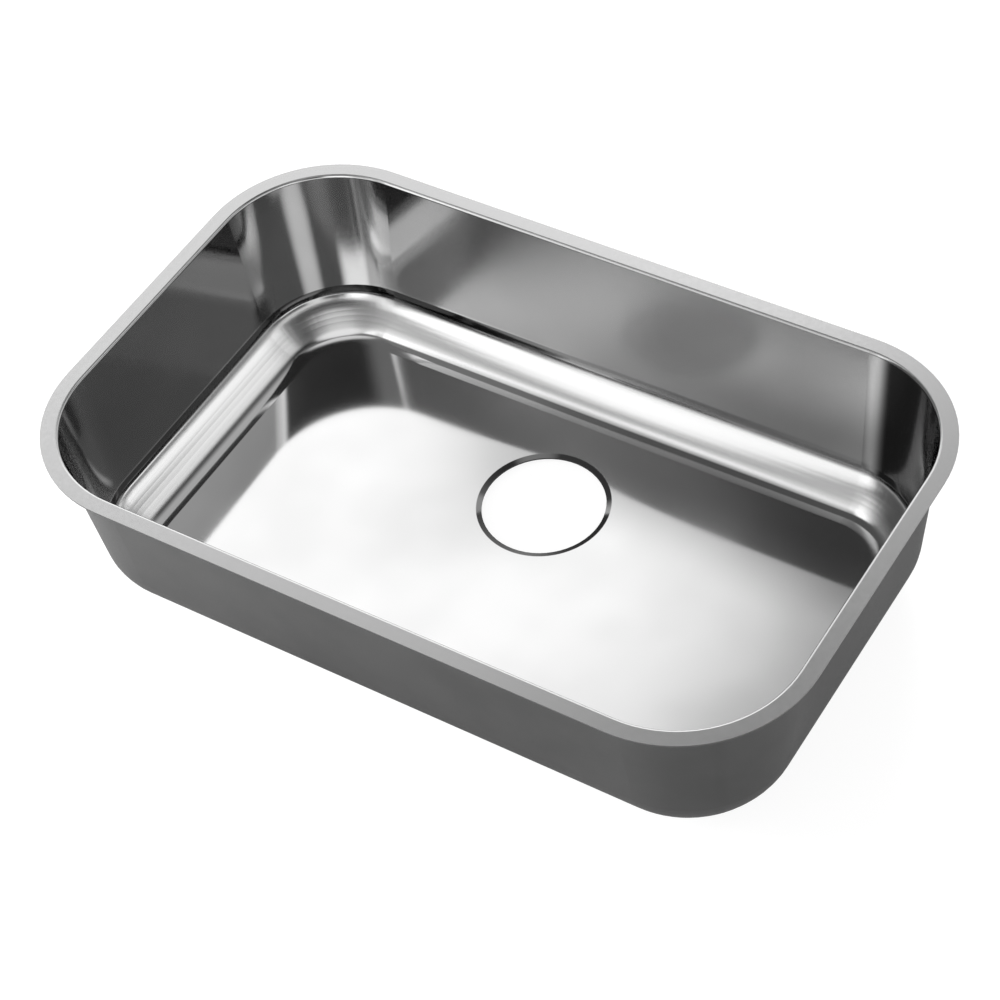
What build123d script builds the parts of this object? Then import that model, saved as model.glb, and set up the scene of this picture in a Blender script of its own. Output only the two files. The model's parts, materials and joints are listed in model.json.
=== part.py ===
from build123d import *
from math import cos, radians, tan
import os

# Undermount kitchen sink: a deep-drawn stainless bowl with an open drain, a sprayed undercoat
# on its outside and rubber sound pads under its floor. Millimetres and degrees.
# +X is to the right along the long side, +Y to the back wall, near which the drain lies, +Z up.
# The pieces are built with the flange's top face at height 0, and then raised together so that
# the pads stand on height 0, with the origin in the middle of the footprint.

# Flange: the flat rim that is glued or clipped against the underside of a worktop
overall_length = 585.0
overall_width = 368.0
flange_width = 12.5
flange_corner_radius = 96.0

# Drawn sheet
sheet_thickness = 1.2
bend_inside_radius = 1.0
wall_draft = 6.5
floor_blend_radius = 34.0

# Floor: level, with a coined seat round the drain hole
floor_depth = 131.0
drain_to_back_edge = 135.5
drain_diameter = 90.0
drain_seat_width = 3.8
drain_seat_drop = 1.0

# Undercoat: it ends just under the flange's bend and leaves bare steel for the drain's gasket
undercoat_thickness = 0.6
undercoat_below_flange = 3.0
bare_steel_margin = 14.0

# Sound pads
pad_thickness = 3.0
pad_corner_radius = 14.0
pad_to_bare_steel = 14.0
pad_to_floor_blend = 14.0
pad_to_pad = 16.0

# Sizes that follow from the ones above
opening_length = overall_length - 2 * flange_width
opening_width = overall_width - 2 * flange_width
opening_corner_radius = flange_corner_radius - flange_width
outside_of_steel = sheet_thickness
outside_of_undercoat = outside_of_steel + undercoat_thickness
outside_of_pads = outside_of_undercoat + pad_thickness

# From the opening's edge in to the foot of the floor's rounded edge, seen from above
draft_angle = radians(wall_draft)
floor_inset = floor_depth * tan(draft_angle) + floor_blend_radius * tan(radians(45) - draft_angle / 2)

# Circles round the drain
drain_behind_middle = overall_width / 2 - drain_to_back_edge
drain_radius = drain_diameter / 2
seat_radius = drain_radius + drain_seat_width
bare_steel_radius = seat_radius + bare_steel_margin

# How far the cutting shapes reach past what they cut
past = 10.0


def floor_section(growth):
    """Half section, through the drain's axis, of all that lies above the floor, grown all round."""
    seat_slope = drain_seat_drop / drain_seat_width
    floor = Polyline(
        (overall_length, -floor_depth),
        (seat_radius, -floor_depth),
        (drain_radius - past, -floor_depth - (drain_seat_width + past) * seat_slope),
    )
    if growth:
        floor = offset(floor, growth, kind=Kind.INTERSECTION, side=Side.LEFT, closed=False)
    inner, outer = floor.vertices().sort_by(Axis.X)[0], floor.vertices().sort_by(Axis.X)[-1]
    rest = Polyline((inner.X, inner.Y), (0, inner.Y), (0, past), (outer.X, past), (outer.X, outer.Y))
    return make_face(Plane.XZ * Curve([*floor.edges(), rest]))


def drawn_form(growth):
    """The space inside the bowl, up to the flange's top face, grown by the same amount all round."""
    side = growth / cos(draft_angle)
    outline = RectangleRounded(
        opening_length + 2 * side, opening_width + 2 * side, opening_corner_radius + side
    )
    walls = extrude(outline, amount=-(floor_depth + growth + past), taper=wall_draft)
    form = walls & Pos(0, drain_behind_middle) * revolve(floor_section(growth), Axis.Z)
    level_floor = max(form.faces().filter_by(Axis.Z).sort_by(Axis.Z)[:-1], key=lambda face: face.area)
    return fillet(level_floor.outer_wire().edges(), floor_blend_radius + growth)


def round_the_drain(radius):
    """Cutter on the drain's axis, through the floor."""
    return Pos(0, drain_behind_middle, -floor_depth) * Cylinder(radius, 2 * past)


def flange_faces(sheet):
    """The flange's top face and its underside."""
    underside, top = sheet.faces().filter_by(Axis.Z).sort_by(Axis.Z)[-2:]
    return top, underside


def make_bowl(inside, outside):
    """Flange and drawn shell as one sheet, with the bend between them and the drain hole."""
    rim = RectangleRounded(overall_length, overall_width, flange_corner_radius)
    sheet = extrude(rim, amount=-sheet_thickness) + outside - inside - round_the_drain(drain_radius)
    top, _ = flange_faces(sheet)
    sheet = fillet(top.inner_wires()[0].edges(), bend_inside_radius + sheet_thickness)
    _, underside = flange_faces(sheet)
    return fillet(underside.inner_wires()[0].edges(), bend_inside_radius)


def make_undercoat(inside, outside):
    """Coat of even thickness on the outside of the bowl, open round the drain."""
    upper_edge = Plane.XY.offset(-sheet_thickness - undercoat_below_flange)
    coat = split(outside - inside, bisect_by=upper_edge, keep=Keep.BOTTOM)
    return coat - round_the_drain(bare_steel_radius)


def make_pad(low_corner, high_corner):
    """Die-cut pad between two corners in plan, on the level part of the undercoat."""
    length, width = high_corner[0] - low_corner[0], high_corner[1] - low_corner[1]
    middle_x, middle_y = (high_corner[0] + low_corner[0]) / 2, (high_corner[1] + low_corner[1]) / 2
    die = RectangleRounded(length, width, pad_corner_radius)
    return Pos(middle_x, middle_y, -floor_depth - outside_of_pads) * extrude(die, amount=pad_thickness)


def make_pads():
    """Pads on the left, on the right and in front of the drain."""
    end_x = opening_length / 2 - floor_inset - pad_to_floor_blend
    end_y = opening_width / 2 - floor_inset - pad_to_floor_blend
    side_x = bare_steel_radius + pad_to_bare_steel
    front_x = side_x - pad_to_pad
    front_y = drain_behind_middle - side_x
    return {
        "sound_pad_left": make_pad((-end_x, -end_y), (-side_x, end_y)),
        "sound_pad_right": make_pad((side_x, -end_y), (end_x, end_y)),
        "sound_pad_front": make_pad((-front_x, -end_y), (front_x, front_y)),
    }


def main():
    inside, steel, undercoat = map(drawn_form, (0, outside_of_steel, outside_of_undercoat))

    pieces = {"bowl": make_bowl(inside, steel), "undercoat": make_undercoat(steel, undercoat)}
    pieces.update(make_pads())

    rim_height = -min(piece.bounding_box().min.Z for piece in pieces.values())
    os.makedirs("parts", exist_ok=True)
    for name, piece in pieces.items():
        export_step(Pos(0, 0, rim_height) * piece, f"parts/{name}.step")
    print("flange's top face at height", round(rim_height, 3))
    print("level floor at height", round(rim_height - floor_depth, 3))


main()
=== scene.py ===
import json
from math import cos, radians, sin

import bpy
from mathutils import Matrix, Vector

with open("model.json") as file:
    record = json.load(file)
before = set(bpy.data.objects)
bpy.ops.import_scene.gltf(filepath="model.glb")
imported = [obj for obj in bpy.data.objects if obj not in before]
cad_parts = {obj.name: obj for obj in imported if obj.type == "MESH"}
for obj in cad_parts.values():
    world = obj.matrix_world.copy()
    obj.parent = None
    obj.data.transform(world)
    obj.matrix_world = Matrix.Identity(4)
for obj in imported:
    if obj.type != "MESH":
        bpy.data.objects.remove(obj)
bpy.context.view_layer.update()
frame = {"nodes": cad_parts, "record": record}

# Places read from the frame, in metres
mounts = {mount["name"]: mount for mount in frame["record"]["mounts"]}
rim_height = mounts["flange_top"]["pos_m"][2]
flange_underside = mounts["flange_underside"]["pos_m"][2]
drain_centre = Vector(mounts["drain"]["pos_m"])
DRAIN_SEAT_RADIUS = 0.0488

# Camera, fitted to the flange's outlines and the drain in the photograph
CAMERA_TARGET = Vector((0.0418, -0.0534, rim_height))
CAMERA_AZIMUTH = radians(38.36)
CAMERA_ELEVATION = radians(48.46)
CAMERA_ROLL = radians(-8.96)
CAMERA_DISTANCE = 1.7825
CAMERA_LENS_MM = 98.12
CAMERA_SENSOR_MM = 36

# Steel: the roughness of each finish, as one number or as the range in which noise varies it.
# Above about 0.27 the denoiser draws a dotted line where two finishes meet, so all stay below.
FLOOR_ROUGHNESS = (0.05, 0.085)
WALL_ROUGHNESS = (0.09, 0.11)
FLANGE_ROUGHNESS = (0.19, 0.22)
BLEND_ROUGHNESS = 0.24
BRUSHED_ROUGHNESS = 0.25

# Steel: the grey of each finish
FLOOR_GREY = (0.67, 0.76)
WALL_GREY = (0.39, 0.45)
FLANGE_GREY = 0.37
BLEND_GREY = 0.8
# Painted dark reflection: grey of a line along the top of the blend on the left
PAINTED_DARK_LINE_GREY = 0.15
# The flange's cut edge: duller steel, darkened further as painted shade
CUT_EDGE_PAINTED_SHADE_GREY = 0.1
# Painted shade: grey of the wall corners, darker than the walls
CORNER_PAINTED_SHADE_GREY = 0.3
# Painted reflection: the back left corner made brighter
BACK_LEFT_CORNER_PAINTED_REFLECTION_GREY = 0.7

# Steel: what the darker places in the photograph keep of their grey
# Painted shade: what the floor keeps of its grey at the back right
BACK_RIGHT_FLOOR_PAINTED_SHADE_KEEPS = 0.44
# Painted shade: what the end walls keep of their grey
END_WALL_PAINTED_SHADE_KEEPS = 0.6
# Painted shade: what the right corners keep of their grey
RIGHT_CORNER_PAINTED_SHADE_KEEPS = 0.35
# Painted shade: what the drain's recessed seat keeps of its grey
DRAIN_SEAT_PAINTED_SHADE_KEEPS = 0.3

# How much the polished floor leans towards the drain, which only its reflections show, and the
# depth in metres of the polishing lines
FLOOR_LEAN = 0.03
LINE_DEPTH = 0.0000012

# Studio floor: its size, how far below the pads it lies, and the strength at which metal sees it,
# lower under the bowl as a painted shadow
STUDIO_FLOOR_HALF = 4.0
STUDIO_FLOOR_DROP = 0.0002
FLOOR_GLOW = 0.9
FLOOR_GLOW_IN_PAINTED_SHADOW = 0.3

# Upright light panels: azimuth from +X towards +Y, half width and soft edge in degrees, strength
FRONT_PANEL = (-79, 13, 6, 1.45)
FRONT_LEFT_PANEL = (-100, 8, 6, 0.8)
FRONT_RIGHT_PANEL = (-31, 8, 6, 0.85)
BACK_PANEL = (97, 13, 7, 1.1)
LOW_BACK_PANEL = (65, 16, 8, 1.1)
HIGH_RIGHT_PANEL = (-10, 38, 10, 0.8)

# Strength of the other parts of the sky
HORIZON = 1.25
OVERHEAD = 1.0
LEFT_SKY = 1.38
FAR_LEFT_SKY = 2.0
HIGH_BACK_SKY = 2.7
RIGHT_BACK_SKY = 1.5


# ---------------------------------------------------------------- node helpers
class Nodes:
    """Builds a node tree with short calls; every call returns the node's first output."""

    def __init__(self, tree):
        self.tree = tree
        tree.nodes.clear()

    def add(self, kind, inputs=None, output=0, **settings):
        node = self.tree.nodes.new(kind)
        for name, value in settings.items():
            setattr(node, name, value)
        for name, value in (inputs or {}).items():
            socket = node.inputs[name]
            if isinstance(value, bpy.types.NodeSocket):
                self.tree.links.new(value, socket)
            else:
                socket.default_value = value
        return node.outputs[output] if node.outputs else node

    def math(self, operation, *values, clamp=False):
        inputs = dict(enumerate(values))
        return self.add("ShaderNodeMath", inputs, operation=operation, use_clamp=clamp)

    def vector(self, operation, *values, output=0):
        inputs = dict(enumerate(values))
        return self.add("ShaderNodeVectorMath", inputs, output, operation=operation)

    def split(self, value):
        """The x, y and z of a vector."""
        return self.add("ShaderNodeSeparateXYZ", {0: value}).node.outputs

    def product(self, first, *others):
        for other in others:
            first = self.math("MULTIPLY", first, other)
        return first

    def ramp(self, value, low, high, to_low=0.0, to_high=1.0):
        """Smooth step from to_low at low to to_high at high."""
        inputs = {
            "Value": value, "From Min": low, "From Max": high, "To Min": to_low, "To Max": to_high
        }
        return self.add("ShaderNodeMapRange", inputs, interpolation_type="SMOOTHSTEP")

    def between(self, value, low, high, soft):
        """Smooth 0 to 1 to 0 as the value passes through the range."""
        return self.product(self.ramp(value, low - soft, low), self.ramp(value, high + soft, high))

    def vary(self, noise, low, high):
        """The range low to high, over the middle part of a noise where most of it lies."""
        return self.ramp(noise, 0.3, 0.7, low, high)

    def mix(self, factor, first, second):
        inputs = {"Factor": factor, "A": first, "B": second}
        return self.add("ShaderNodeMix", inputs, data_type="FLOAT")

    def noise(self, position, scale, detail):
        inputs = {"Vector": position, "Scale": scale, "Detail": detail}
        return self.add("ShaderNodeTexNoise", inputs, "Fac")

    def bump(self, height, distance, strength):
        inputs = {"Height": height, "Distance": distance, "Strength": strength}
        return self.add("ShaderNodeBump", inputs)

    def surface(self, shade, roughness, bump, metallic=0.0):
        """Grey surface, finished off with the material's output."""
        colour = self.add("ShaderNodeCombineColor", {0: shade, 1: shade, 2: shade})
        inputs = {
            "Base Color": colour, "Metallic": metallic, "Roughness": roughness, "Normal": bump
        }
        shader = self.add("ShaderNodeBsdfPrincipled", inputs)
        self.add("ShaderNodeOutputMaterial", {"Surface": shader})


def material(name):
    made = bpy.data.materials.new(name)
    made.use_nodes = True
    return made, Nodes(made.node_tree)


# ---------------------------------------------------------------- the pieces' finishes
def make_steel():
    """Polished floor and walls, softer blend and flange, and the photograph's darker places."""
    made, n = material("polished_steel")
    geometry = n.add("ShaderNodeNewGeometry").node
    position = geometry.outputs["Position"]
    along, across, height = n.split(position)
    face_x, face_y, face_z = n.split(geometry.outputs["Normal"])
    from_middle = n.math("ABSOLUTE", along)

    # Where each finish lies, from 0 outside it to 1 on it, by height and by where the sheet faces
    on_flange = n.ramp(height, rim_height - 0.0008, rim_height - 0.0002)
    above_blend = n.ramp(height, 0.034, 0.037)
    on_wall = n.product(above_blend, n.math("SUBTRACT", 1.0, on_flange))
    on_floor = n.ramp(height, 0.03, 0.008)
    in_corner = n.ramp(n.math("ABSOLUTE", n.product(face_x, face_y)), 0.02, 0.2)
    in_blend = n.product(n.ramp(face_z, 0.3, 0.42), n.ramp(face_z, 0.965, 0.9))
    on_end = n.ramp(n.math("ABSOLUTE", face_x), 0.8, 0.985)
    mid_side = n.ramp(from_middle, 0.19, 0.03)
    upright = n.ramp(n.math("ABSOLUTE", face_z), 0.35, 0.15)
    cut_edge = n.product(upright, n.ramp(height, flange_underside - 0.0002, flange_underside))

    # Places that the photograph shows darker or brighter, by quarter of the bowl
    # Painted shade: the corners on the right made darker
    right_corner_painted_shade = n.product(in_corner, n.ramp(along, -0.1, 0.1))
    # Painted reflection: the back left of the bowl, where the corner is made brighter
    back_left_painted_reflection = n.product(n.ramp(along, 0.1, -0.1), n.ramp(across, -0.1, 0.1))
    # Painted shade: the floor made darker at the back right, where it mirrors the back wall
    back_right_painted_shade = n.product(n.ramp(along, -0.14, 0.06), n.ramp(across, 0.03, 0.11))
    # Painted dark reflection: a line along the top of the blend, at the foot of the left wall and
    # of the back wall's left half
    painted_dark_line = n.product(
        n.ramp(face_z, 0.118, 0.14), n.ramp(face_z, 0.36, 0.27), n.ramp(along, 0.02, -0.12)
    )

    # Fine polishing lines that run along the bowl, a grain, and a cloudy unevenness of the sheet
    lines = n.noise(n.vector("MULTIPLY", position, (6.0, 700.0, 120.0)), 1.0, 4.0)
    grain = n.noise(position, 300.0, 3.0)
    clouds = n.noise(position, 9.0, 2.0)

    low_roughness = n.mix(in_blend, n.vary(clouds, *FLOOR_ROUGHNESS), BLEND_ROUGHNESS)
    wall_roughness = n.mix(mid_side, n.vary(grain, *WALL_ROUGHNESS), BRUSHED_ROUGHNESS)
    inside_roughness = n.mix(on_wall, low_roughness, wall_roughness)
    roughness = n.mix(on_flange, inside_roughness, n.vary(grain, *FLANGE_ROUGHNESS))

    to_drain = n.vector("SUBTRACT", position, tuple(drain_centre))
    level_way = n.vector("MULTIPLY", to_drain, (1.0, 1.0, 0.0))
    from_drain = n.vector("LENGTH", level_way, output="Value")
    lean = n.product(from_drain, FLOOR_LEAN, on_floor)
    relief = n.math("ADD", lean, n.math("MULTIPLY", lines, LINE_DEPTH))

    floor_painted_shade = n.mix(back_right_painted_shade, 1.0, BACK_RIGHT_FLOOR_PAINTED_SHADE_KEEPS)
    floor_shade = n.product(n.vary(clouds, *FLOOR_GREY), floor_painted_shade)
    # The blend's top on the left is darkened here as painted dark reflection
    low_shade = n.mix(painted_dark_line, n.mix(in_blend, floor_shade, BLEND_GREY), PAINTED_DARK_LINE_GREY)
    # The walls' grey varies at random with the clouds; the end walls are darkened as painted shade
    flat_shade = n.product(n.ramp(clouds, 0.2, 0.8, *WALL_GREY), n.mix(on_end, 1.0, END_WALL_PAINTED_SHADE_KEEPS))
    # Corners darkened as painted shade, and the back left one brightened as painted reflection
    corner_painted_shade_and_reflection = n.mix(back_left_painted_reflection, CORNER_PAINTED_SHADE_GREY, BACK_LEFT_CORNER_PAINTED_REFLECTION_GREY)
    wall_shade = n.mix(in_corner, flat_shade, corner_painted_shade_and_reflection)
    # The right corners are darkened here as painted shade
    inside_shade = n.product(
        n.mix(on_wall, low_shade, wall_shade), n.mix(right_corner_painted_shade, 1.0, RIGHT_CORNER_PAINTED_SHADE_KEEPS)
    )
    # The flange's cut edge is made near black: duller steel, darkened further as painted shade
    shade = n.mix(cut_edge, n.mix(on_flange, inside_shade, FLANGE_GREY), CUT_EDGE_PAINTED_SHADE_GREY)
    # Painted shade: the drain's recessed seat made darker
    drain_seat_painted_shade = n.ramp(
        from_drain, DRAIN_SEAT_RADIUS - 0.0004, DRAIN_SEAT_RADIUS + 0.0004, DRAIN_SEAT_PAINTED_SHADE_KEEPS, 1.0
    )
    n.surface(n.product(shade, drain_seat_painted_shade), roughness, n.bump(relief, 1.0, 1.0), metallic=1.0)
    return made


def make_undercoat():
    """Matt grey sprayed coat with a fine orange-peel grain."""
    made, n = material("undercoat")
    position = n.add("ShaderNodeNewGeometry")
    grain = n.noise(position, 1400.0, 2.0)
    clouds = n.noise(position, 14.0, 3.0)
    shade = n.math("ADD", n.vary(grain, 0.05, 0.067), n.vary(clouds, -0.006, 0.006))
    n.surface(shade, n.vary(grain, 0.62, 0.78), n.bump(grain, 0.0001, 0.6))
    return made


def make_rubber():
    """Matt black sound pad with a pressed grain."""
    made, n = material("sound_pad")
    position = n.add("ShaderNodeNewGeometry")
    grain = n.add("ShaderNodeTexVoronoi", {"Vector": position, "Scale": 700.0}, "Distance")
    dust = n.noise(position, 40.0, 4.0)
    shade = n.ramp(dust, 0.35, 0.75, 0.026, 0.042)
    n.surface(shade, n.vary(dust, 0.72, 0.88), n.bump(grain, 0.0002, 0.5))
    return made


finishes = {"bowl": make_steel(), "undercoat": make_undercoat()}
rubber = make_rubber()
for name, node in frame["nodes"].items():
    finish = finishes.get(name, rubber)
    for slot in node.material_slots:
        slot.material = finish


# ---------------------------------------------------------------- studio
def make_floor():
    """Pale floor: white to the camera, with the object's soft shadow, and a painted shadow under
    the bowl that metal sees.
    """
    half, low = STUDIO_FLOOR_HALF, -STUDIO_FLOOR_DROP
    corners = [(-half, -half, low), (half, -half, low), (half, half, low), (-half, half, low)]
    mesh = bpy.data.meshes.new("floor")
    mesh.from_pydata(corners, [], [(0, 1, 2, 3)])
    floor = bpy.data.objects.new("floor", mesh)
    bpy.context.scene.collection.objects.link(floor)

    made, n = material("floor")
    mesh.materials.append(made)
    path = n.add("ShaderNodeLightPath").node.outputs
    straight = n.math("ADD", path["Is Camera Ray"], path["Is Transmission Ray"])
    seen_white = n.math("ADD", straight, path["Is Glossy Ray"], clamp=True)
    from_middle = n.vector("LENGTH", n.add("ShaderNodeNewGeometry"), output="Value")
    # Painted shadow: metal sees the floor dimmer near the middle, under the bowl
    painted_shadow_under_bowl = n.product(n.ramp(from_middle, 0.3, 0.15), path["Is Glossy Ray"])
    strength = n.mix(painted_shadow_under_bowl, FLOOR_GLOW, FLOOR_GLOW_IN_PAINTED_SHADOW)
    glow = n.add("ShaderNodeEmission", {"Color": (1, 1, 1, 1), "Strength": strength})
    pale = n.add("ShaderNodeBsdfDiffuse", {"Color": (0.2, 0.2, 0.2, 1)})
    white = n.add("ShaderNodeAddShader", {0: glow, 1: pale})
    diffuse = n.add("ShaderNodeBsdfDiffuse", {"Color": (0.7, 0.7, 0.7, 1)})
    shader = n.add("ShaderNodeMixShader", {0: seen_white, 1: diffuse, 2: white})
    n.add("ShaderNodeOutputMaterial", {"Surface": shader})


def make_world():
    """Soft studio: a bright horizon, panels of different heights and dark gaps between them."""
    world = bpy.data.worlds.new("studio")
    bpy.context.scene.world = world
    world.use_nodes = True
    n = Nodes(world.node_tree)
    direction = n.vector("NORMALIZE", n.add("ShaderNodeTexCoord", output="Generated"))
    x, y, z = n.split(direction)
    compass = n.vector("NORMALIZE", n.vector("MULTIPLY", direction, (1.0, 1.0, 0.0)))

    def panel(shape, *masks):
        azimuth, half_width, soft, strength = shape
        towards = (cos(radians(azimuth)), sin(radians(azimuth)), 0.0)
        turned = n.vector("DOT_PRODUCT", compass, towards, output="Value")
        side = n.ramp(turned, cos(radians(half_width + soft)), cos(radians(half_width - soft)))
        return n.product(side, strength, *masks)

    # What the dark gaps hold: more towards the back, and less on the right, where it is darkest
    # high up
    right_gap = n.mix(n.ramp(z, 0.8, 0.88), n.ramp(y, 0.3, 0.45, 0.12, 0.26), 0.03)
    gap = n.mix(n.ramp(x, -0.1, 0.15), n.ramp(y, 0.3, 0.5, 0.22, 0.5), right_gap)

    # A patch on the front left that brightens to the left, in two bands
    fade = n.math("ADD", n.ramp(x, -0.39, -0.455, 0.85, 2.4), n.ramp(x, -0.365, -0.33, 0.0, 0.5))
    towards_front = n.product(n.ramp(x, -0.62, -0.5), n.ramp(x, -0.2, -0.27))
    front_bands = n.math("ADD", n.ramp(y, -0.4, -0.46), n.between(y, -0.24, 0.0, 0.05))

    below_top = n.ramp(z, 0.82, 0.74)
    towards_back = n.ramp(y, 0.3, 0.42)
    band_at_back = n.between(y, 0.4, 0.56, 0.08)
    sources = (
        n.product(n.ramp(z, 0.37, 0.28), HORIZON),
        n.product(n.ramp(z, 0.955, 0.985), OVERHEAD),
        panel(HIGH_RIGHT_PANEL, n.between(z, 0.62, 0.76, 0.05)),
        panel(FRONT_PANEL, below_top),
        panel(FRONT_LEFT_PANEL, below_top),
        panel(FRONT_RIGHT_PANEL, below_top),
        panel(BACK_PANEL, below_top),
        panel(LOW_BACK_PANEL, n.ramp(z, 0.56, 0.48)),
        n.product(n.ramp(x, -0.27, -0.43), LEFT_SKY, towards_back),
        n.product(n.ramp(x, -0.42, -0.54), FAR_LEFT_SKY, towards_back),
        n.product(n.ramp(x, -0.2, -0.36), HIGH_BACK_SKY, n.ramp(y, 0.55, 0.62)),
        n.product(n.ramp(x, 0.16, 0.34), RIGHT_BACK_SKY, band_at_back, n.ramp(z, 0.6, 0.68)),
        n.product(fade, towards_front, front_bands),
    )
    level = gap
    for source in sources:
        level = n.math("MAXIMUM", level, source)
    shader = n.add("ShaderNodeBackground", {"Color": (1, 1, 1, 1), "Strength": level})
    n.add("ShaderNodeOutputWorld", {"Surface": shader})


def make_lamp(name, place, size, power):
    """Soft lamp aimed at the object, for the coat's shading; metal doesn't mirror it."""
    data = bpy.data.lights.new(name, "AREA")
    data.shape, data.size, data.energy = "DISK", size, power
    lamp = bpy.data.objects.new(name, data)
    lamp.visible_glossy = False
    lamp.location = place
    lamp.rotation_euler = (-Vector(place)).to_track_quat("-Z", "Y").to_euler()
    bpy.context.scene.collection.objects.link(lamp)


def make_camera():
    back = Vector((
        sin(CAMERA_AZIMUTH) * cos(CAMERA_ELEVATION),
        -cos(CAMERA_AZIMUTH) * cos(CAMERA_ELEVATION),
        sin(CAMERA_ELEVATION),
    ))
    level = Vector((cos(CAMERA_AZIMUTH), sin(CAMERA_AZIMUTH), 0))
    upright = back.cross(level)
    right = cos(CAMERA_ROLL) * level + sin(CAMERA_ROLL) * upright
    up = -sin(CAMERA_ROLL) * level + cos(CAMERA_ROLL) * upright
    data = bpy.data.cameras.new("camera")
    data.sensor_width = CAMERA_SENSOR_MM
    data.lens = CAMERA_LENS_MM
    camera = bpy.data.objects.new("camera", data)
    turned = Matrix((right, up, back)).transposed().to_4x4()
    camera.matrix_world = Matrix.Translation(CAMERA_TARGET + CAMERA_DISTANCE * back) @ turned
    bpy.context.scene.collection.objects.link(camera)
    bpy.context.scene.camera = camera


make_floor()
make_world()
make_lamp("left_lamp", (-0.95, -0.6, 0.35), size=0.5, power=16.0)
make_lamp("back_lamp", (-0.5, 1.4, 0.6), size=0.8, power=30.0)
make_camera()
bpy.context.scene.view_settings.view_transform = "Standard"
